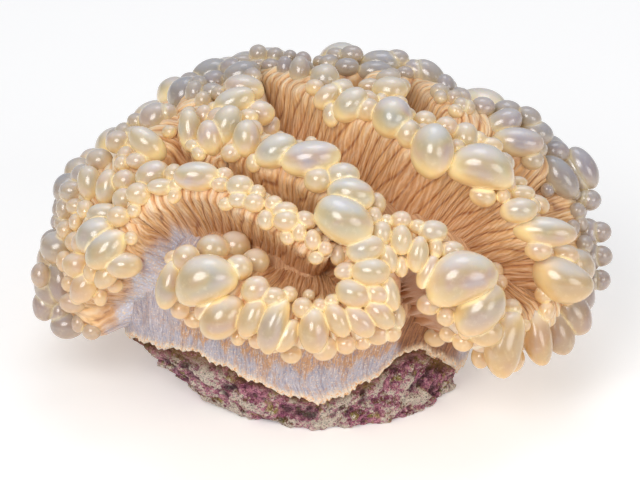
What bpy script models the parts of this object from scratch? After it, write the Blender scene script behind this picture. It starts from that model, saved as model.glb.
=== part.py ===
"""A bubble coral colony growing on a chunk of reef rock.

The colony is a low dome. Its winding folds stand up from a common base and carry bubbles along their
crests. The colony is split where the folds fork: each fold is one solid with its bubbles fused to it,
and the base with its mantle skirt is one solid. The rock is one solid, cut flat underneath.

Frame: metres, +Z up, -Y is the front. The origin is in the flat cut under the rock.

The folds and the bubbles are laid out on a drawing of the dome, seen from in front (or from behind) and
from above by VIEW_TILT. Places on that drawing are in its own pixels, one pixel being PIXEL metres.
"""

import math
import random

import bmesh
import bpy
import numpy
from mathutils import Matrix, Vector, noise
from mathutils.bvhtree import BVHTree

# The drawing.
PIXEL = 0.0004
VIEW_MIDDLE = (320, 250)
VIEW_TILT = math.radians(25)

# The dome that the fold crests lie on, and how far the valleys rise above its middle.
DOME_CENTRE = Vector((0, 0, 0.053))
CREST_AXES = Vector((0.106, 0.088, 0.072))
VALLEY_RISE = 0.046

# Walls of the folds, rounded over the crest and a little wider at the foot.
FOLD_DEPTH = 0.033
FOLD_FLARE = 0.004
CREST_ROUND = 0.6
CREST_DEGREES = (-75, -50, -25, 0, 25, 50, 75)
END_DEGREES = (30, 60, 90)
STATION_STEP = 0.005
CURVE_STEPS = 12

# Bubbles: how far a centre stands out of the flesh as a share of the radius, how near two may come as a
# share of their radii, how far from the middle of the crest they sit and how much lower they are there.
# BUBBLE_GROWTH makes the drawn ones a little larger than drawn, so that they touch. FILLERS are the sizes
# that fill up a crest, with the tries for each station of it. None is wider than FILLER_SHARE of the
# crest, and none stays where it would show between the bubbles that are drawn from in front.
STAND_OUT = 0.45
BUBBLE_GROWTH = 1.07
CLOSENESS = 0.85
CREST_SHARE = 0.95
CREST_FALL = 0.3
FILLERS = ((0.0090, 4), (0.0070, 6))
FILLER_SHARE = 0.95
FILLER_CLEAR = 1.2
FILLER_COVER = 0.8
STRETCH = (1.1, 1.35)
BUBBLE_FINENESS = 3
SEED = 7

# Looking for the wall along a line of sight.
EYE = 0.3
DEPTH_STEP = 0.002
DEPTH_TRIES = 50

# The gap where rock and base meet, and the merging of the folds. MERGES are pairs of a voxel size and of
# how much larger a cutter is than its piece: each fold takes the first pair that leaves a closed body.
GAP = 0.0004
MERGE = 0.00001
SLIVER = 0.00005
MERGES = (
    (0.0014, 0.0010), (0.00137, 0.0011), (0.00143, 0.0012), (0.00134, 0.0013), (0.00146, 0.0014),
    (0.00131, 0.0015), (0.00149, 0.0009),
)
TRIANGLES_PER_METRE = 3000

# The rock and the base share one outline, as half widths and middles at several heights.
OUTLINE_HEIGHTS = (0.000, 0.010, 0.022, 0.035, 0.053)
OUTLINE_HALF_X = (0.050, 0.060, 0.069, 0.074, 0.079)
OUTLINE_HALF_Y = (0.046, 0.052, 0.057, 0.060, 0.063)
OUTLINE_MIDDLE_X = (0.002, -0.003, -0.008, -0.007, -0.003)
OUTLINE_MIDDLE_Y = (-0.008, -0.004, -0.001, 0.000, 0.000)

# Height of the mantle's lower edge round the rock: degrees from +X, then metres. The front is -90.
MARGIN = (
    (-180, 0.020), (-144, 0.031), (-127, 0.034), (-110, 0.029), (-102, 0.023), (-95, 0.015),
    (-85, 0.012), (-78, 0.017), (-64, 0.024), (-57, 0.037), (-50, 0.035), (-41, 0.026), (-26, 0.015),
    (-10, 0.011), (20, 0.017), (60, 0.025), (90, 0.020), (120, 0.026), (150, 0.018), (180, 0.020),
)

# Profiles of the turned solids as shares of the outline and levels of height, and their fineness.
SKIN_STEPS = 28
SEAT_SHARES = (0.45, 0.8)
BASE_LEVELS = (0, 0.35, 0.7, 1)
DOME_DEGREES = (18, 36, 54, 72)
ROCK_FOOT_SHARES = (0.5, 0.92)
ROCK_LEVELS = (0.12, 0.36, 0.6, 0.82, 1)
ROCK_LUMP = 0.0035
ROCK_LUMP_SIZE = 0.017

MANTLE_COLOUR = (0.72, 0.66, 0.68)
FLESH_COLOUR = (0.80, 0.48, 0.30)
ROCK_COLOUR = (0.36, 0.27, 0.30)

# Each fold: the side that it is drawn from, its crests as (half the width in metres, route), and its
# bubbles as (across, down, half length, half width, turn in degrees).
FOLDS = {
    "left_lobe": {
        "behind": False,
        "crests": ((
            0.0140,
            ((72, 314), (66, 286), (84, 258), (108, 238)),
        ),),
        "bubbles": (
            (100, 236, 20, 17, 30), (110, 249, 23, 15, 43), (128, 265, 17, 12, 5), (110, 275, 14, 10, 50),
            (87, 286, 17, 12, 60), (62, 282, 20, 14, 100), (80, 265, 14, 12, 0), (60, 248, 17, 16, 0),
            (48, 286, 20, 12, 100), (45, 305, 15, 11, 90), (75, 302, 13, 10, 0), (60, 312, 12, 10, 90),
            (68, 325, 16, 13, 0),
        ),
    },
    "front_arch": {
        "behind": False,
        "crests": ((
            0.0065,
            ((110, 222), (138, 202), (168, 188), (202, 182), (243, 196), (285, 220), (318, 244)),
        ),),
        "bubbles": (
            (108, 215, 17, 11, 0), (142, 195, 12, 11, 0), (127, 200, 11, 11, 0), (156, 177, 17, 14, 20),
            (165, 188, 14, 8, 0), (200, 178, 22, 14, 0), (242, 188, 13, 11, 0), (287, 222, 12, 10, 0),
        ),
    },
    "left_crest": {
        "behind": False,
        "crests": ((
            0.0115,
            ((72, 218), (88, 190), (114, 168), (142, 148), (160, 124)),
        ),),
        "bubbles": (
            (92, 184, 17, 12, 100), (110, 188, 17, 11, 80), (128, 182, 12, 11, 0), (150, 146, 21, 13, -42),
            (120, 143, 12, 11, 0), (156, 119, 16, 14, 40), (101, 161, 13, 11, 0), (86, 176, 13, 11, 0),
            (74, 192, 13, 11, 0),
        ),
    },
    "centre_fold": {
        "behind": False,
        "crests": (
            (0.0100, ((236, 70), (238, 92), (229, 116), (242, 136), (277, 152), (312, 165), (340, 188),
                      (352, 216), (362, 240))),
            (0.0085, ((212, 72), (192, 96), (196, 128), (210, 142))),
        ),
        "bubbles": (
            (240, 75, 17, 12, 25), (245, 90, 19, 13, -10), (235, 104, 21, 13, 25), (228, 128, 20, 14, 70),
            (248, 141, 18, 13, 90), (260, 115, 15, 12, 0), (277, 153, 21, 15, 30), (311, 161, 28, 17, 8),
            (318, 182, 13, 12, 0), (342, 178, 16, 13, 0), (350, 196, 22, 16, -10), (343, 221, 29, 21, -30),
            (364, 249, 18, 13, 15), (380, 234, 12, 10, 90), (184, 95, 18, 15, 65), (211, 73, 19, 14, 20),
            (213, 83, 14, 11, 30), (213, 94, 12, 10, 0), (192, 133, 21, 11, 95), (212, 140, 17, 12, 100),
        ),
    },
    "front_curl": {
        "behind": False,
        "crests": ((
            0.0110,
            ((366, 262), (376, 286), (364, 310), (335, 324), (298, 326), (262, 314), (234, 296),
             (206, 280), (184, 280)),
        ),),
        "bubbles": (
            (209, 280, 30, 22, 20), (173, 284, 23, 12, 75), (190, 258, 13, 13, 0), (215, 249, 15, 14, 0),
            (236, 246, 15, 14, 0), (257, 261, 13, 12, 0), (241, 267, 13, 12, 0), (257, 288, 14, 12, 30),
            (213, 304, 17, 11, 42), (225, 315, 24, 18, 45), (254, 315, 20, 12, 65), (275, 323, 27, 13, 70),
            (275, 296, 12, 10, 0), (288, 333, 17, 10, 60), (314, 328, 21, 14, 90), (324, 345, 12, 12, 0),
            (376, 331, 12, 11, 0), (369, 271, 18, 13, 0), (352, 292, 17, 13, -20), (378, 312, 17, 11, -45),
            (337, 318, 17, 11, -60), (358, 319, 18, 11, -45), (388, 292, 17, 9, -75), (394, 315, 13, 9, 90),
            (386, 258, 14, 9, -70),
        ),
    },
    "upper_right_fold": {
        "behind": False,
        "crests": ((
            0.0085,
            ((262, 62), (290, 70), (324, 86), (354, 104), (392, 120), (430, 146), (476, 164),
             (514, 196), (540, 232)),
        ),),
        "bubbles": (
            (478, 170, 32, 21, -12), (430, 153, 26, 20, 85), (407, 136, 14, 12, 90), (391, 120, 20, 19, 90),
            (463, 140, 15, 13, 90), (325, 81, 15, 14, 90), (300, 73, 15, 10, 90), (350, 107, 19, 14, 45),
            (367, 112, 12, 11, 0), (341, 94, 13, 12, 0), (328, 99, 15, 11, 40), (515, 211, 18, 12, 5),
            (480, 197, 13, 10, -15), (541, 232, 30, 14, -5), (535, 250, 13, 10, 0),
        ),
    },
    "right_curl": {
        "behind": False,
        "crests": ((
            0.0110,
            ((562, 268), (566, 302), (542, 328), (504, 338), (474, 312), (454, 280), (430, 250),
             (400, 240)),
        ),),
        "bubbles": (
            (457, 279, 35, 24, 20), (476, 308, 28, 20, 48), (502, 342, 32, 18, 78), (534, 336, 27, 14, 102),
            (554, 328, 26, 16, 115), (569, 310, 26, 17, 125), (559, 279, 30, 20, -25),
            (427, 303, 12, 10, 0), (482, 330, 16, 14, 0), (562, 255, 13, 10, 0), (399, 240, 14, 10, 90),
            (415, 254, 17, 10, 80), (430, 232, 14, 11, 0), (425, 271, 17, 9, 65), (462, 240, 17, 11, 0),
        ),
    },
    "crown_fold": {
        "behind": False,
        "crests": (
            (0.0080, ((332, 62), (356, 64), (386, 64), (420, 73), (442, 88), (456, 104))),
            (0.0075, ((384, 72), (386, 88), (391, 108))),
        ),
        "bubbles": (
            (375, 71, 17, 10, 0), (381, 63, 20, 13, 0), (418, 71, 15, 11, -25), (430, 75, 19, 12, -45),
            (389, 92, 17, 13, 0),
        ),
    },
    "right_outer_fold": {
        "behind": False,
        "crests": ((
            0.0100,
            ((470, 112), (502, 122), (526, 142), (556, 162), (574, 188), (588, 218), (592, 250),
             (590, 286)),
        ),),
        "bubbles": (
            (516, 143, 25, 14, -3), (502, 124, 19, 13, 25), (506, 112, 14, 11, 0), (482, 108, 12, 10, 0),
            (536, 133, 16, 12, -20), (555, 152, 14, 11, 0), (559, 177, 24, 14, -50),
            (577, 172, 20, 11, -65), (583, 168, 22, 13, -60), (588, 233, 14, 12, 90),
            (590, 257, 14, 11, 90), (582, 262, 13, 9, 90), (528, 118, 13, 10, -30),
        ),
    },
    "back_arch": {
        "behind": True,
        "crests": ((
            0.0100,
            ((308, 164), (304, 198), (268, 228), (208, 246), (150, 234), (114, 216), (96, 200)),
        ),),
        "bubbles": (),
    },
    "back_curl": {
        "behind": True,
        "crests": ((
            0.0100,
            ((390, 168), (402, 210), (444, 248), (490, 262), (530, 258), (556, 250), (576, 232)),
        ),),
        "bubbles": (),
    },
    "back_inner_fold": {
        "behind": True,
        "crests": ((
            0.0075,
            ((468, 210), (491, 197), (508, 179), (515, 160), (507, 141)),
        ),),
        "bubbles": (),
    },
    "back_low_fold": {
        "behind": True,
        "crests": ((
            0.0105,
            ((390, 228), (368, 262), (330, 290), (274, 314), (224, 322), (182, 310), (146, 294),
             (110, 300), (86, 290)),
        ),),
        "bubbles": (),
    },
    "back_left_fold": {
        "behind": True,
        "crests": ((
            0.0105,
            ((386, 268), (418, 292), (450, 326), (488, 340), (520, 334), (548, 318), (572, 300),
             (588, 282)),
        ),),
        "bubbles": (),
    },
}


def clear_scene():
    for item in list(bpy.data.objects):
        bpy.data.objects.remove(item)


def material(name, colour, roughness):
    made = bpy.data.materials.new(name)
    made.use_nodes = True
    shader = made.node_tree.nodes["Principled BSDF"]
    shader.inputs["Base Color"].default_value = (*colour, 1)
    shader.inputs["Roughness"].default_value = roughness
    shader.inputs["Metallic"].default_value = 0
    return made


def new_object(name, shape, skin):
    """Puts a bmesh into the scene as an object with one material."""
    mesh = bpy.data.meshes.new(name)
    shape.to_mesh(mesh)
    shape.free()
    mesh.materials.append(skin)
    made = bpy.data.objects.new(name, mesh)
    bpy.context.scene.collection.objects.link(made)
    return made


def as_helper(made):
    """Marks an object that only cuts others."""
    made.hide_render = True
    made.display_type = "WIRE"
    return made


def apply_modifiers(made):
    graph = bpy.context.evaluated_depsgraph_get()
    mesh = bpy.data.meshes.new_from_object(made.evaluated_get(graph))
    made.modifiers.clear()
    made.data = mesh


def between(value, steps, values):
    """Straight-line interpolation in a table of values at rising steps."""
    if value <= steps[0]:
        return values[0]
    for low, high, first, last in zip(steps, steps[1:], values, values[1:]):
        if value <= high:
            return first + (last - first) * (value - low) / (high - low)
    return values[-1]


# Places on the drawing and on the dome


def view_axes(behind):
    """Right, up and towards the eye, for the drawing seen from in front or from behind."""
    side = -1 if behind else 1
    right = Vector((side, 0, 0))
    up = Vector((0, side * math.sin(VIEW_TILT), math.cos(VIEW_TILT)))
    towards = Vector((0, -side * math.cos(VIEW_TILT), math.sin(VIEW_TILT)))
    return right, up, towards


def on_view(point, behind):
    """The point of the drawing, on the plane through the dome's centre that faces the eye."""
    right, up, _ = view_axes(behind)
    across = (point[0] - VIEW_MIDDLE[0]) * PIXEL
    rise = (VIEW_MIDDLE[1] - point[1]) * PIXEL
    return DOME_CENTRE + right * across + up * rise


def on_dome(point, behind):
    """Where the line of sight through a point of the drawing meets the crest dome, or its nearest rim."""
    towards = view_axes(behind)[2]
    start = on_view(point, behind) - DOME_CENTRE
    start = Vector([value / axis for value, axis in zip(start, CREST_AXES)])
    step = Vector([value / axis for value, axis in zip(towards, CREST_AXES)])
    half = start.dot(step) / step.length_squared
    inside = half**2 - (start.length_squared - 1) / step.length_squared
    unit = (start + step * (math.sqrt(max(inside, 0)) - half)).normalized()
    return DOME_CENTRE + Vector([value * axis for value, axis in zip(unit, CREST_AXES)])


def dome_normal(place):
    offset = place - DOME_CENTRE
    return Vector([value / axis**2 for value, axis in zip(offset, CREST_AXES)]).normalized()


def smooth_route(points):
    """A Catmull-Rom curve through the points of a route on the drawing."""
    points = [Vector(point) for point in points]
    ends = [2 * points[0] - points[1], *points, 2 * points[-1] - points[-2]]
    made = []
    for a, b, c, d in zip(ends, ends[1:], ends[2:], ends[3:]):
        for step in range(CURVE_STEPS):
            t = step / CURVE_STEPS
            curve = 2 * b + (c - a) * t + (2 * a - 5 * b + 4 * c - d) * t**2 + (3 * b - a - 3 * c + d) * t**3
            made.append(curve / 2)
    made.append(points[-1])
    return made


def crest_line(route, behind):
    """Evenly spaced places along a crest, on the dome."""
    line = [on_dome(point, behind) for point in smooth_route(route)]
    lengths = [0]
    for a, b in zip(line, line[1:]):
        lengths.append(lengths[-1] + (b - a).length)
    count = round(lengths[-1] / STATION_STEP)
    columns = [[place[axis] for place in line] for axis in range(3)]
    return [
        Vector([between(lengths[-1] * i / count, lengths, column) for column in columns])
        for i in range(count + 1)
    ]


# The rock and the base of the colony


def margin_height(turn):
    """Height of the mantle's lower edge at an angle round the rock."""
    degrees = (math.degrees(turn) + 180) % 360 - 180
    return between(degrees, [row[0] for row in MARGIN], [row[1] for row in MARGIN])


def mean_margin():
    return sum(margin_height(math.tau * i / SKIN_STEPS) for i in range(SKIN_STEPS)) / SKIN_STEPS


def outline(height, turn, share=1.0):
    """A point on the common outline of rock and base, or a share of the way out to it."""
    half_x, half_y, middle_x, middle_y = (
        between(height, OUTLINE_HEIGHTS, table)
        for table in (OUTLINE_HALF_X, OUTLINE_HALF_Y, OUTLINE_MIDDLE_X, OUTLINE_MIDDLE_Y)
    )
    return Vector((
        middle_x + half_x * share * math.cos(turn),
        middle_y + half_y * share * math.sin(turn),
        height,
    ))


def seat(share, turn, drop=0.0):
    """A point of the surface where base and rock meet: wavy at the rim, level in the middle."""
    level = mean_margin()
    height = level + (margin_height(turn) - level) * share**2 - drop
    return outline(height, turn, share)


def turned(profile, place):
    """Spins a profile of (share, level) round Z and moves each point where place(share, level, turn) says."""
    shape = bmesh.new()
    points = [shape.verts.new((share, 0, level)) for share, level in profile]
    for a, b in zip(points, points[1:]):
        shape.edges.new((a, b))
    bmesh.ops.spin(
        shape, geom=shape.verts[:] + shape.edges[:], cent=(0, 0, 0), axis=(0, 0, 1),
        angle=math.tau, steps=SKIN_STEPS, use_merge=True,
    )
    bmesh.ops.remove_doubles(shape, verts=shape.verts[:], dist=MERGE)
    for vert in shape.verts:
        vert.co = place(vert.co.xy.length, vert.co.z, math.atan2(vert.co.y, vert.co.x))
    bmesh.ops.triangulate(shape, faces=shape.faces[:])
    bmesh.ops.recalc_face_normals(shape, faces=shape.faces[:])
    return shape


def base_shape():
    """Valley floors and mantle skirt. Level 0 is the seat, 1 the dome's middle height and 2 its top."""
    profile = [(share, 0) for share in (0, *SEAT_SHARES)]
    profile += [(1, level) for level in BASE_LEVELS]
    profile += [(math.cos(angle), 1 + math.sin(angle)) for angle in map(math.radians, DOME_DEGREES)]
    profile.append((0, 2))

    def place(share, level, turn):
        if level == 0:
            return seat(share, turn)
        if level <= 1:
            foot = margin_height(turn)
            return outline(foot + (DOME_CENTRE.z - foot) * level, turn)
        point = outline(DOME_CENTRE.z, turn, share)
        point.z += VALLEY_RISE * (level - 1)
        return point

    return turned(profile, place)


def rock_shape():
    """The rock under the seat, lumpy at its sides and flat underneath."""
    profile = [(share, 0) for share in (0, *ROCK_FOOT_SHARES)]
    profile += [(1, level) for level in ROCK_LEVELS]
    profile += [(share, 1) for share in (*reversed(SEAT_SHARES), 0)]

    def place(share, level, turn):
        if level == 0:
            return outline(0, turn, share)
        if level == 1:
            return seat(share, turn, GAP)
        point = outline(level * (margin_height(turn) - GAP), turn)
        out = Vector((math.cos(turn), math.sin(turn), 0))
        return point + out * ROCK_LUMP * noise.noise(point / ROCK_LUMP_SIZE)

    return turned(profile, place)


# The walls of the folds


def wall_section(half_width):
    """Outline of a wall as (across, rise) from its crest, from one foot over the top to the other."""
    feet = [(half_width + FOLD_FLARE, -FOLD_DEPTH), (half_width + FOLD_FLARE / 3, -FOLD_DEPTH / 2)]
    crest = [
        (half_width * math.sin(angle), CREST_ROUND * half_width * (math.cos(angle) - 1))
        for angle in map(math.radians, CREST_DEGREES)
    ]
    return [(-across, rise) for across, rise in feet] + crest + feet[::-1]


def stations(line, half_width):
    """Along a crest, with a round cap at both ends: place, direction, up, and share of the width."""
    made = []
    for i, place in enumerate(line):
        along = (line[min(i + 1, len(line) - 1)] - line[max(i - 1, 0)]).normalized()
        made.append((place, along, dome_normal(place), 1))

    def cap(place, along, up, side):
        return [
            (place + along * side * half_width * math.sin(angle), along, up, math.cos(angle))
            for angle in map(math.radians, END_DEGREES)
        ]

    return cap(*made[0][:3], -1)[::-1] + made + cap(*made[-1][:3], 1)


def add_wall(shape, line, half_width):
    """Wraps a grid round a crest, section by section, and closes it at the seam and the ends."""
    places = stations(line, half_width)
    section = wall_section(half_width)
    section.append(section[0])
    columns = len(places) - 1
    rows = len(section) - 1
    made = bmesh.ops.create_grid(shape, x_segments=columns, y_segments=rows, size=0.5)["verts"]
    for vert in made:
        place, along, up, width = places[round((vert.co.x + 0.5) * columns)]
        across, rise = section[round((vert.co.y + 0.5) * rows)]
        drop = CREST_ROUND * half_width * (1 - width)
        vert.co = place + up.cross(along).normalized() * across * width + up * (rise - drop)
    bmesh.ops.remove_doubles(shape, verts=made, dist=MERGE)


def wall_shape(fold):
    """The walls of a fold, one for each of its crests."""
    shape = bmesh.new()
    for half_width, route in fold["crests"]:
        add_wall(shape, crest_line(route, fold["behind"]), half_width)
    bmesh.ops.recalc_face_normals(shape, faces=shape.faces[:])
    return shape


# The bubbles, each as its centre, its axes and its radii


def drawn_bubble(row, fold, wall):
    """A bubble of the drawing, standing out of the fold's wall."""
    across, down, half_long, half_wide, turn = row
    right, up, towards = view_axes(fold["behind"])
    sight = on_view((across, down), fold["behind"])
    angle = math.radians(turn)
    long_way = right * math.cos(angle) + up * math.sin(angle)
    wide_way = up * math.cos(angle) - right * math.sin(angle)
    radii = tuple(half * PIXEL * BUBBLE_GROWTH for half in (half_long, half_wide, half_wide))
    place = wall.ray_cast(sight + towards * EYE, -towards)[0]
    if place is not None:
        centre = place + towards * radii[2] * STAND_OUT
    else:
        depths = [DEPTH_STEP * i for i in range(-DEPTH_TRIES, DEPTH_TRIES)]
        beside = [wall.find_nearest(sight + towards * depth)[0] for depth in depths]
        nearest = min(beside, key=lambda point: (point - sight).cross(towards).length)
        centre = sight + towards * (nearest - sight).dot(towards)
    return centre, Matrix((long_way, wide_way, towards)).transposed(), radii


def loose_bubbles(line, half_width, taken, rng):
    """Fills up the rest of a crest, the large bubbles first, clear of the (centre, radius) in taken."""
    made = []
    for radius, tries in FILLERS:
        if radius > half_width * FILLER_SHARE:
            continue
        for _ in range(tries * len(line)):
            place = rng.choice(line)
            up = dome_normal(place)
            away = Matrix.Rotation(rng.uniform(0, math.tau), 3, up) @ up.orthogonal().normalized()
            far = rng.uniform(0, half_width * CREST_SHARE)
            long_way = Matrix.Rotation(rng.uniform(0, math.tau), 3, up) @ up.orthogonal().normalized()
            long_radius = radius * rng.uniform(*STRETCH)
            centre = place + away * far + up * (radius * STAND_OUT - CREST_FALL * far**2 / half_width)
            if any((centre - other).length < CLOSENESS * (radius + size) for other, size in taken):
                continue
            taken.append((centre, radius))
            axes = Matrix((long_way, up.cross(long_way), up)).transposed()
            made.append((centre, axes, (long_radius, radius, radius)))
    return made


def shows_in_front(bubble, walls, drawn):
    """Whether a bubble would show in the drawing from in front, with no wall or drawn bubble over it."""
    centre, _, radii = bubble
    towards = view_axes(False)[2]
    start = centre + towards * radii[1] * FILLER_CLEAR
    if any(wall.ray_cast(start, towards)[0] is not None for wall in walls):
        return False
    for other, size in drawn:
        offset = other - centre
        along = offset.dot(towards)
        if along > 0 and (offset - towards * along).length < size * FILLER_COVER:
            return False
    return True


def add_bubble(shape, bubble):
    centre, axes, radii = bubble
    made = bmesh.ops.create_icosphere(shape, subdivisions=BUBBLE_FINENESS, radius=1)
    place = Matrix.Translation(centre) @ axes.to_4x4() @ Matrix.Diagonal((*radii, 1))
    bmesh.ops.transform(shape, matrix=place, verts=made["verts"])


# The folds


def fold_object(name, fold, bubbles, skin, voxel):
    """One fold: its wall and bubbles merged into one skin of few triangles."""
    shape = wall_shape(fold)
    for bubble in bubbles:
        add_bubble(shape, bubble)
    made = new_object(name, shape, skin)
    merge = made.modifiers.new("merge", "REMESH")
    merge.mode = "VOXEL"
    merge.voxel_size = voxel
    apply_modifiers(made)
    length = STATION_STEP * sum(len(crest_line(route, fold["behind"])) for _, route in fold["crests"])
    thin_out = made.modifiers.new("thin_out", "DECIMATE")
    thin_out.ratio = length * TRIANGLES_PER_METRE / (2 * len(made.data.polygons))
    apply_modifiers(made)
    return made


def keep_largest(made):
    """Drops the slivers that a cut leaves, and the crumbs beside the main body."""
    shape = bmesh.new()
    shape.from_mesh(made.data)
    bmesh.ops.remove_doubles(shape, verts=shape.verts[:], dist=SLIVER)
    bmesh.ops.dissolve_degenerate(shape, edges=shape.edges[:], dist=SLIVER)
    left = set(shape.faces)
    bodies = []
    while left:
        found = [left.pop()]
        for face in found:
            near = {other for edge in face.edges for other in edge.link_faces} & left
            left -= near
            found.extend(near)
        bodies.append(found)
    bodies.sort(key=len)
    for body in bodies[:-1]:
        bmesh.ops.delete(shape, geom=body, context="FACES")
    shape.to_mesh(made.data)
    shape.free()


def is_closed(mesh):
    shape = bmesh.new()
    shape.from_mesh(mesh)
    closed = all(edge.is_manifold for edge in shape.edges)
    shape.free()
    return closed


def swollen_copy(made, swell):
    """A helper a little larger than the object, to cut its neighbours with."""
    swollen = bpy.data.objects.new("cutter_" + made.name, made.data.copy())
    bpy.context.scene.collection.objects.link(swollen)
    displace = swollen.modifiers.new("swell", "DISPLACE")
    displace.strength = swell
    displace.mid_level = 0
    apply_modifiers(swollen)
    return as_helper(swollen)


def cut(made, neighbour, swell):
    """Cuts the neighbour away, with a gap round it."""
    cutter = swollen_copy(neighbour, swell)
    boolean = made.modifiers.new("cut", "BOOLEAN")
    boolean.operation = "DIFFERENCE"
    boolean.solver = "EXACT"
    boolean.use_self = True
    boolean.object = cutter
    apply_modifiers(made)
    bpy.data.objects.remove(cutter)
    keep_largest(made)


def boxes_meet(one, other):
    boxes = []
    for made in (one, other):
        places = numpy.array([vert.co for vert in made.data.vertices])
        boxes.append((places.min(axis=0), places.max(axis=0)))
    (low_a, high_a), (low_b, high_b) = boxes
    return bool((low_a <= high_b).all() and (low_b <= high_a).all())


def finished_fold(name, fold, bubbles, skin, neighbours):
    """The fold, cut clear of its neighbours."""
    for voxel, swell in MERGES:
        made = fold_object(name, fold, bubbles, skin, voxel)
        for neighbour in neighbours:
            if boxes_meet(made, neighbour):
                cut(made, neighbour, swell)
        if is_closed(made.data):
            return made
        bpy.data.objects.remove(made)
    raise ValueError(name + " stays open")


def main():
    clear_scene()
    flesh = material("flesh", FLESH_COLOUR, 0.5)
    mantle = material("mantle", MANTLE_COLOUR, 0.6)
    new_object("rock_base", rock_shape(), material("rock", ROCK_COLOUR, 0.9))
    finished = [new_object("colony_base", base_shape(), mantle)]

    drawn = {}
    walls = []
    for name, fold in FOLDS.items():
        wall = BVHTree.FromBMesh(wall_shape(fold))
        walls.append(wall)
        drawn[name] = [drawn_bubble(row, fold, wall) for row in fold["bubbles"]]
    covers = [
        (centre, (radii[0] + radii[1]) / 2) for bubbles in drawn.values() for centre, _, radii in bubbles
    ]

    rng = random.Random(SEED)
    taken = list(covers)
    for name, fold in FOLDS.items():
        bubbles = drawn[name]
        for half_width, route in fold["crests"]:
            loose = loose_bubbles(crest_line(route, fold["behind"]), half_width, taken, rng)
            bubbles += [bubble for bubble in loose if not shows_in_front(bubble, walls, covers)]
        finished.append(finished_fold(name, fold, bubbles, flesh, finished))


main()
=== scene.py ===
import math
import random

import bmesh
import bpy
import numpy as np
from mathutils import Matrix, Vector, noise
from mathutils.bvhtree import BVHTree


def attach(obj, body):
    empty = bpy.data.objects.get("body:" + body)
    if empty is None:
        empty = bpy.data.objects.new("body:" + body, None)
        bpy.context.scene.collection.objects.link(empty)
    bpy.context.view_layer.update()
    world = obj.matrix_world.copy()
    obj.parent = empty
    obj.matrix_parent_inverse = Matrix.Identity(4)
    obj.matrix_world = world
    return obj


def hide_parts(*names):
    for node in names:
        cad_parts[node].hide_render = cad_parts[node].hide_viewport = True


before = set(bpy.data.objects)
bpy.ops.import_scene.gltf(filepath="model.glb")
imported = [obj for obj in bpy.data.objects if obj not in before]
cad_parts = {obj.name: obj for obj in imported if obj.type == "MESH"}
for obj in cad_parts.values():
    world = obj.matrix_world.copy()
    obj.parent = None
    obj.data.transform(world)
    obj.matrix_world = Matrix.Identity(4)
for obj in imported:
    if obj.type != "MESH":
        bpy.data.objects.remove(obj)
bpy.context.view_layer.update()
print("frame loaded:", len(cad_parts), "solids")

# The colony is laid out on a drawing of its dome, seen from in front (or from behind) and from above.
# Places on the drawing are in its pixels. These sizes are the solids' own, so they change only with them.
drawing = {"pixel": 0.0004, "middle": (320, 250), "tilt": math.radians(25)}
dome = {"centre": Vector((0, 0, 0.053)), "axes": Vector((0.106, 0.088, 0.072)), "valleyRise": 0.046}
solidWall = {
    "depth": 0.033, "flare": 0.004, "crestRound": 0.6, "crestDegrees": (-75, -50, -25, 0, 25, 50, 75),
    "endDegrees": (30, 60, 90), "step": 0.005, "curveSteps": 12,
}
merge = 0.00001


def viewAxes(behind):  # right, up and towards the eye
    side = -1 if behind else 1
    tilt = drawing["tilt"]
    right = Vector((side, 0, 0))
    up = Vector((0, side * math.sin(tilt), math.cos(tilt)))
    towards = Vector((0, -side * math.cos(tilt), math.sin(tilt)))
    return right, up, towards


def onView(point, behind):
    right, up, _ = viewAxes(behind)
    across = (point[0] - drawing["middle"][0]) * drawing["pixel"]
    rise = (drawing["middle"][1] - point[1]) * drawing["pixel"]
    return dome["centre"] + right * across + up * rise


def onDome(point, behind):  # where the line of sight meets the crest dome, or the nearest rim
    towards = viewAxes(behind)[2]
    start = onView(point, behind) - dome["centre"]
    start = Vector([value / axis for value, axis in zip(start, dome["axes"])])
    step = Vector([value / axis for value, axis in zip(towards, dome["axes"])])
    half = start.dot(step) / step.length_squared
    inside = half**2 - (start.length_squared - 1) / step.length_squared
    unit = (start + step * (math.sqrt(max(inside, 0)) - half)).normalized()
    return dome["centre"] + Vector([value * axis for value, axis in zip(unit, dome["axes"])])


def domeNormal(place):
    offset = place - dome["centre"]
    return Vector([value / axis**2 for value, axis in zip(offset, dome["axes"])]).normalized()


def smoothRoute(points):  # a Catmull-Rom curve
    points = [Vector(point) for point in points]
    ends = [2 * points[0] - points[1], *points, 2 * points[-1] - points[-2]]
    steps = solidWall["curveSteps"]
    made = []
    for a, b, c, d in zip(ends, ends[1:], ends[2:], ends[3:]):
        for step in range(steps):
            t = step / steps
            curve = 2 * b + (c - a) * t + (2 * a - 5 * b + 4 * c - d) * t**2 + (3 * b - a - 3 * c + d) * t**3
            made.append(curve / 2)
    made.append(points[-1])
    return made


def lengthsAlong(line):
    return np.concatenate(([0], np.cumsum(np.linalg.norm(np.diff(line, axis=0), axis=1))))


def crestLine(route, behind, step=solidWall["step"]):  # evenly spaced places along a crest
    line = np.array([onDome(point, behind) for point in smoothRoute(route)])
    lengths = lengthsAlong(line)
    count = round(lengths[-1] / step)
    along = np.linspace(0, lengths[-1], count + 1)
    return [Vector(place) for place in np.stack([np.interp(along, lengths, line[:, k]) for k in range(3)], 1)]


def onDrawing(points):  # pixels of an array of places, seen from in front
    right, up, _ = (np.array(axis) for axis in viewAxes(False))
    offset = points - np.array(dome["centre"])
    across = drawing["middle"][0] + offset @ right / drawing["pixel"]
    down = drawing["middle"][1] - offset @ up / drawing["pixel"]
    return across, down


def smoothStep(low, high, values):
    share = np.clip((values - low) / (high - low), 0, 1)
    return share * share * (3 - 2 * share)


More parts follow.
